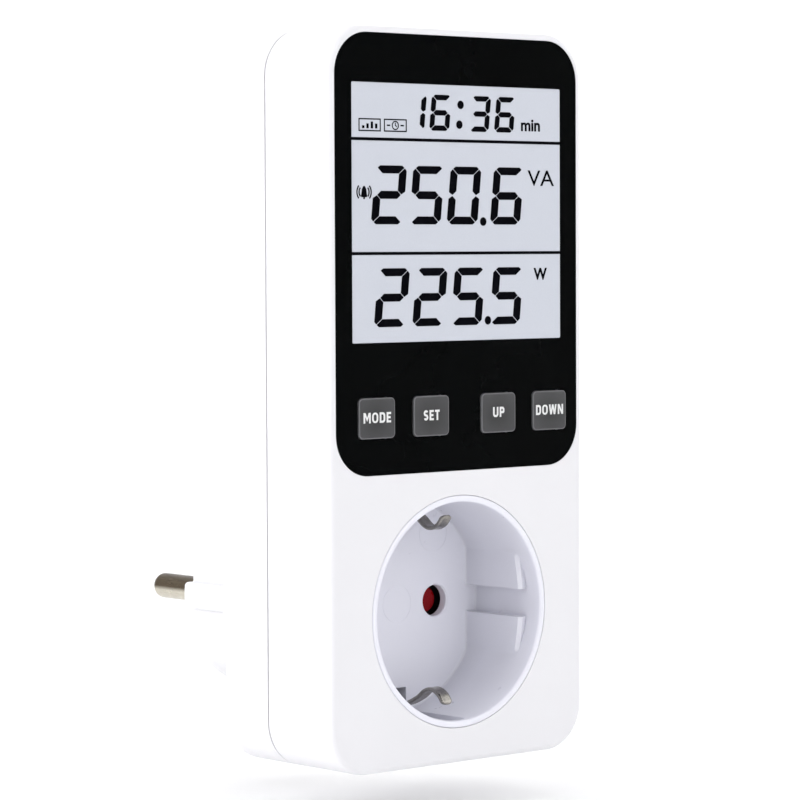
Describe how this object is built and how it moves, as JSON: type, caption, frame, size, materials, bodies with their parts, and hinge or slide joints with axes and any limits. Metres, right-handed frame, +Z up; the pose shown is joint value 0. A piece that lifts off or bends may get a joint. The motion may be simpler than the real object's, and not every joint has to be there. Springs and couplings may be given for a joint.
{
  "type": "plug in power meter",
  "caption": "Slim plug-in energy meter: display panel with keys above an earthed round socket, matching earthed plug with round pins on the back.",
  "frame": {"origin": "middle of the plug's end face, between the two pins", "axes": "+Y along the plug pins into the wall, +Z up from the socket to the display, +X to the right of someone reading the display"},
  "size_m": [0.0612, 0.0772, 0.1319],
  "materials": {
    "housing": "satin moulded white",
    "insert": "smooth white, slightly cool",
    "lens": "glossy black sheet with a clear window",
    "display": "grey liquid crystal cell, satin",
    "keys": "dark grey, fine satin",
    "light_guide": "clear white light guide",
    "zebra": "soft, banded",
    "circuit_board": "green solder mask",
    "black_part": "black moulding",
    "shutter": "red moulding",
    "nickel": "nickel plate, slightly warm",
    "contact_brass": "stamped, satin",
    "copper": "bare copper, satin",
    "steel": "zinc plated",
    "yellow_part": "capacitor case",
    "blue_part": "coated component",
    "ceramic_part": "glazed tube",
    "wire_cover": "insulated wire"
  },
  "bodies": {
    "case": {"backup_cell": "steel", "board_connector": "black_part", "buzzer": "black_part", "carrier_screw_1": "steel", "carrier_screw_2": "steel", "case_screw_1": "steel", "case_screw_2": "steel", "case_screw_3": "steel", "case_screw_4": "steel", "contact_carrier": "black_part", "crystal": "steel", "display_board": "circuit_board", "display_lens": "lens", "display_screw_1": "steel", "display_screw_2": "steel", "display_screw_3": "steel", "earth_strap": "nickel", "filter_capacitor": "blue_part", "front_housing": "housing", "fuse": "ceramic_part", "lcd_backlight": "light_guide", "lcd_bracket": "insert", "lcd_connector": "zebra", "lcd_glass": "display", "line_contact": "contact_brass", "line_feed_bar": "copper", "line_pin": "nickel", "line_return_wire": "wire_cover", "metering_chip": "black_part", "microcontroller": "black_part", "neutral_contact": "contact_brass", "neutral_feed_bar": "copper", "neutral_pin": "nickel", "plug_body": "housing", "plug_earth_clip_bottom": "nickel", "plug_earth_clip_top": "nickel", "power_board": "circuit_board", "power_screw_1": "steel", "power_screw_2": "steel", "rear_housing": "housing", "shunt": "copper", "shutter_spring": "steel", "socket_insert": "insert", "switch_down": "black_part", "switch_mode": "black_part", "switch_set": "black_part", "switch_up": "black_part", "varistor": "blue_part", "x2_capacitor": "yellow_part"},
    "earth_clip_top": {"earth_clip_top": "nickel"},
    "earth_clip_bottom": {"earth_clip_bottom": "nickel"},
    "shutter": {"shutter": "shutter"},
    "key_mode": {"button_mode": "keys", "plunger_mode": "black_part"},
    "key_set": {"button_set": "keys", "plunger_set": "black_part"},
    "key_up": {"button_up": "keys", "plunger_up": "black_part"},
    "key_down": {"button_down": "keys", "plunger_down": "black_part"}
  },
  "joints": [
    {"name": "key_mode_press", "type": "slide", "parent": "case", "child": "key_mode", "axis": [0, 1, 0], "range_m": [0, 0.0005], "stiffness_N_per_m": 3000},
    {"name": "key_set_press", "type": "slide", "parent": "case", "child": "key_set", "axis": [0, 1, 0], "range_m": [0, 0.0005], "stiffness_N_per_m": 3000},
    {"name": "key_up_press", "type": "slide", "parent": "case", "child": "key_up", "axis": [0, 1, 0], "range_m": [0, 0.0005], "stiffness_N_per_m": 3000},
    {"name": "key_down_press", "type": "slide", "parent": "case", "child": "key_down", "axis": [0, 1, 0], "range_m": [0, 0.0005], "stiffness_N_per_m": 3000},
    {"name": "shutter_turn", "type": "hinge", "parent": "case", "child": "shutter", "pos_m": [0, -0.0368, 0], "axis": [0, 1, 0], "range_deg": [0, 40], "stiffness_Nm_per_rad": 0.004},
    {"name": "earth_clip_top_flex", "type": "hinge", "parent": "case", "child": "earth_clip_top", "pos_m": [0, -0.0375, 0.0177], "axis": [-1, 0, 0], "range_deg": [0, 6], "stiffness_Nm_per_rad": 0.8},
    {"name": "earth_clip_bottom_flex", "type": "hinge", "parent": "case", "child": "earth_clip_bottom", "pos_m": [0, -0.0375, -0.0177], "axis": [1, 0, 0], "range_deg": [0, 6], "stiffness_Nm_per_rad": 0.8}
  ]
}
